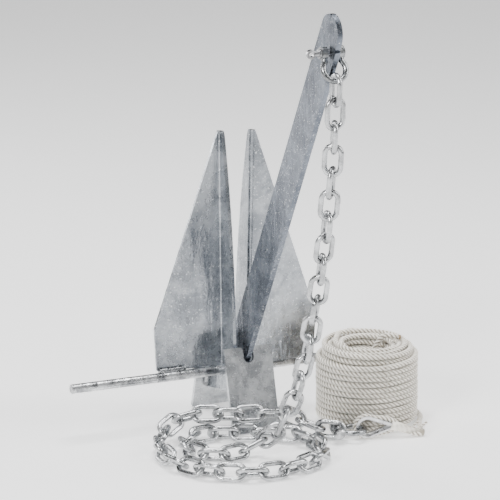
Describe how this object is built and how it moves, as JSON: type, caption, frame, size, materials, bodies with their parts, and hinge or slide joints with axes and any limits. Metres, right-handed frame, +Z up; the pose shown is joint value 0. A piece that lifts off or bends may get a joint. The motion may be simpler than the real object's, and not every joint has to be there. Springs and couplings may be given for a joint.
{
  "type": "boat anchor with chain and rope",
  "caption": "Galvanised pivoting-fluke boat anchor whose flat shank swings between two notched palms, with lead chain, shackles, thimble and a coil of laid rope.",
  "frame": {"origin": "on the floor, under the middle of the anchor's own box (stock, flukes, palms and shank, without the chain and rope)", "axes": "+Z up, X along the stock, the shank leans towards -Y at rest"},
  "size_m": [0.432, 0.3539, 0.5556],
  "materials": {
    "stock_zinc": "hot-dip galvanised, satin",
    "plate_zinc": "hot-dip galvanised, dull satin",
    "palm_zinc": "hot-dip galvanised, dull satin",
    "shank_zinc": "hot-dip galvanised, satin with soft mottling",
    "weld_zinc": "galvanised weld bead, rough",
    "shackle_zinc": "galvanised forging, rough satin",
    "pin_zinc": "galvanised, satin",
    "chain_zinc": "galvanised short-link chain, bright satin",
    "thimble_steel": "thin zinc-plated steel, satin",
    "rope": "three-strand laid polyester, off-white"
  },
  "bodies": {
    "crown": {"stock": "stock_zinc", "left_fluke": "plate_zinc", "right_fluke": "plate_zinc", "front_palm": "palm_zinc", "rear_palm": "palm_zinc", "left_fluke_weld": "weld_zinc", "right_fluke_weld": "weld_zinc", "front_palm_weld": "weld_zinc", "rear_palm_weld": "weld_zinc", "inner_floor_chain": "chain_zinc", "outer_floor_chain": "chain_zinc", "tail_chain": "chain_zinc", "rode_shackle": "shackle_zinc", "thimble": "thimble_steel", "rope_splice": "rope", "rope_lead": "rope", "rope_coil": "rope"},
    "shank": {"shank": "shank_zinc"},
    "head_chain": {"head_shackle": "shackle_zinc", "hanging_link_1": "chain_zinc", "hanging_link_2": "chain_zinc", "hanging_link_3": "chain_zinc", "hanging_link_4": "chain_zinc", "hanging_link_5": "chain_zinc", "hanging_link_6": "chain_zinc", "hanging_link_7": "chain_zinc", "hanging_link_8": "chain_zinc", "hanging_link_9": "chain_zinc", "hanging_link_10": "chain_zinc", "hanging_link_11": "chain_zinc", "hanging_link_12": "chain_zinc", "hanging_link_13": "chain_zinc", "hanging_link_14": "chain_zinc", "hanging_link_15": "chain_zinc", "hanging_link_16": "chain_zinc", "hanging_link_17": "chain_zinc"},
    "head_pin": {"head_pin": "pin_zinc"},
    "rode_pin": {"rode_pin": "pin_zinc"}
  },
  "joints": [
    {"name": "shank_swing", "type": "hinge", "parent": "crown", "child": "shank", "pos_m": [0, 0.10953, 0.06431], "axis": [-1, 0, 0], "range_deg": [0, 58.91]},
    {"name": "head_shackle_swing", "type": "hinge", "parent": "shank", "child": "head_chain", "pos_m": [0, -0.15304, 0.51092], "axis": [-1, 0, 0], "range_deg": [0, 60]},
    {"name": "head_pin_turn", "type": "hinge", "parent": "head_chain", "child": "head_pin", "pos_m": [0, -0.15304, 0.51092], "axis": [1, 0, 0], "continuous": true},
    {"name": "rode_pin_turn", "type": "hinge", "parent": "crown", "child": "rode_pin", "pos_m": [0.078, -0.01947, 0.0128], "axis": [-0.2419, -0.9703, 0], "continuous": true}
  ]
}
